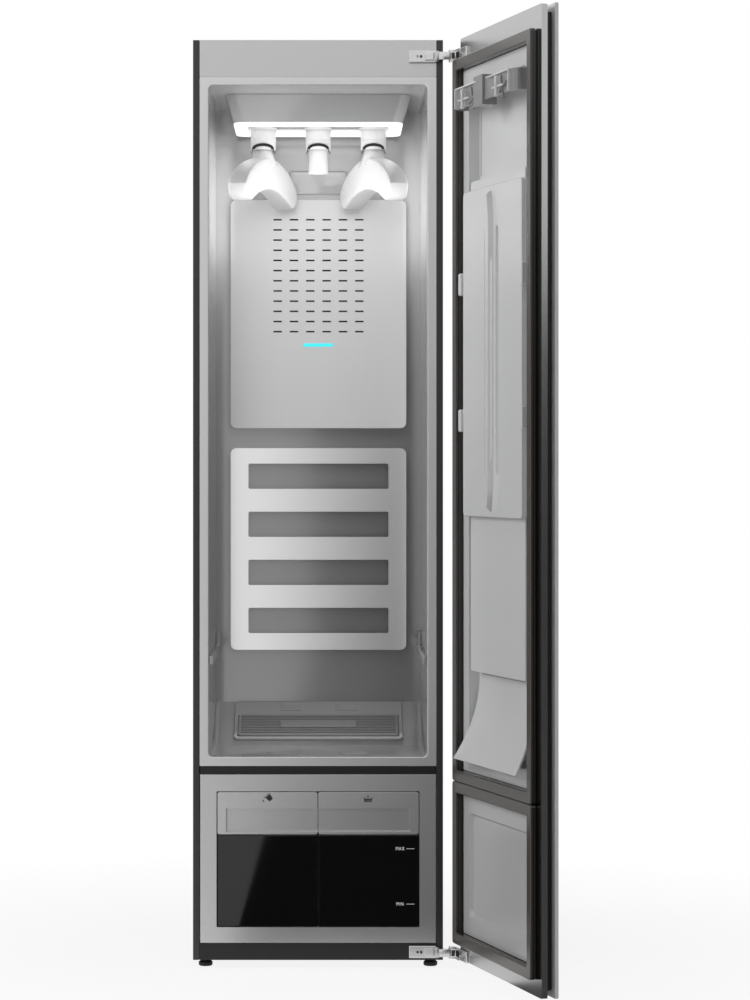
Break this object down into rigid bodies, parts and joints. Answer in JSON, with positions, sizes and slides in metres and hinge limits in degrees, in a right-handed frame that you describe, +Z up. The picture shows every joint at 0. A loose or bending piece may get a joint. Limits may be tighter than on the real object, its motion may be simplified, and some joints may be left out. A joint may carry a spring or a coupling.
{
  "type": "clothes care steam cabinet",
  "caption": "Tall clothes care steam cabinet with an open gasketed door, trouser press, lit cavity, air nozzles with hangers, duct panels and pull-out water tanks.",
  "frame": {"origin": "centre of the base tray's underside, one foot height above the floor", "axes": "+Z up, -Y is the cabinet's front, +X is the hinge side"},
  "size_m": [0.6937, 1.0524, 1.856],
  "materials": {
    "dark_steel": "satin dark grey paint",
    "grey_panel": "satin silver grey",
    "black_rubber": "matte",
    "liner_plastic": "smooth satin light grey",
    "lamp": "lit diffuser",
    "white_plastic": "smooth white",
    "mirror_steel": "polished",
    "cyan_light": "lit strip",
    "clear_tank": "smoky translucent",
    "black_glass": "mirror gloss",
    "front_board": "white lacquer",
    "gasket_rubber": "soft brown grey seal",
    "bright_steel": "nickel plated",
    "machine_black": "black paint",
    "fin_aluminium": "bare"
  },
  "bodies": {
    "cabinet": {"side_panel_left": "dark_steel", "side_panel_right": "dark_steel", "back_panel": "dark_steel", "top_panel": "dark_steel", "base_tray": "dark_steel", "header_panel": "grey_panel", "divider_bar": "dark_steel", "plinth": "dark_steel", "foot_front_left": "black_rubber", "foot_front_right": "black_rubber", "foot_rear_left": "black_rubber", "foot_rear_right": "black_rubber", "inner_liner": "liner_plastic", "lamp_housing": "liner_plastic", "lamp_diffuser": "lamp", "air_nozzle_left": "white_plastic", "air_nozzle_middle": "white_plastic", "air_nozzle_right": "white_plastic", "nozzle_seal_left": "black_rubber", "nozzle_seal_middle": "black_rubber", "nozzle_seal_right": "black_rubber", "duct_panel_upper": "mirror_steel", "duct_panel_lower": "mirror_steel", "indicator_light": "cyan_light", "floor_panel": "liner_plastic", "shelf_rail_left": "liner_plastic", "shelf_rail_right": "liner_plastic", "lower_fascia": "grey_panel", "tank_bay": "liner_plastic", "hinge_base_bottom": "bright_steel", "hinge_base_top": "bright_steel", "fan_housing": "machine_black", "fan_motor": "bright_steel", "compressor": "machine_black", "steam_generator": "fin_aluminium", "condenser_coil": "fin_aluminium"},
    "door": {"door_pan": "grey_panel", "door_front": "front_board", "gasket_upper": "gasket_rubber", "gasket_lower": "gasket_rubber", "door_liner_upper": "liner_plastic", "door_liner_lower": "liner_plastic", "press_board": "liner_plastic", "trouser_rail": "liner_plastic", "deflector": "liner_plastic", "hinge_arm_bottom": "bright_steel", "hinge_arm_top": "bright_steel"},
    "press_plate": {"press_plate": "liner_plastic"},
    "lint_filter": {"lint_filter": "grey_panel"},
    "supply_tank": {"supply_tank_body": "clear_tank", "supply_tank_front": "grey_panel", "supply_tank_window": "black_glass"},
    "drain_tank": {"drain_tank_body": "clear_tank", "drain_tank_front": "grey_panel", "drain_tank_window": "black_glass"},
    "hanger_left": {"hanger_left": "white_plastic"},
    "hanger_middle": {"hanger_middle": "white_plastic"},
    "hanger_right": {"hanger_right": "white_plastic"},
    "fan_rotor": {"fan_rotor": "white_plastic"}
  },
  "joints": [
    {"name": "door_swing", "type": "hinge", "parent": "cabinet", "child": "door", "pos_m": [0.268, -0.285, 0], "axis": [0, 0, 1], "range_deg": [-105.2, 10]},
    {"name": "press_plate_swing", "type": "hinge", "parent": "door", "child": "press_plate", "pos_m": [0.28552, -0.3735, 1.207], "axis": [0, 0, -1], "range_deg": [0, 95]},
    {"name": "supply_tank_slide", "type": "slide", "parent": "cabinet", "child": "supply_tank", "axis": [0, -1, 0], "range_m": [0, 0.2]},
    {"name": "drain_tank_slide", "type": "slide", "parent": "cabinet", "child": "drain_tank", "axis": [0, -1, 0], "range_m": [0, 0.2]},
    {"name": "lint_filter_lift", "type": "slide", "parent": "cabinet", "child": "lint_filter", "axis": [0, -0.4008, 0.9162], "range_m": [0, 0.06]},
    {"name": "fan_spin", "type": "hinge", "parent": "cabinet", "child": "fan_rotor", "pos_m": [0.02, 0.09, 0.09854], "axis": [0, 1, 0], "continuous": true},
    {"name": "hanger_left_release", "type": "slide", "parent": "cabinet", "child": "hanger_left", "axis": [0, 0, -1], "range_m": [0, 0.05]},
    {"name": "hanger_middle_release", "type": "slide", "parent": "cabinet", "child": "hanger_middle", "axis": [0, 0, -1], "range_m": [0, 0.05]},
    {"name": "hanger_right_release", "type": "slide", "parent": "cabinet", "child": "hanger_right", "axis": [0, 0, -1], "range_m": [0, 0.05]}
  ]
}
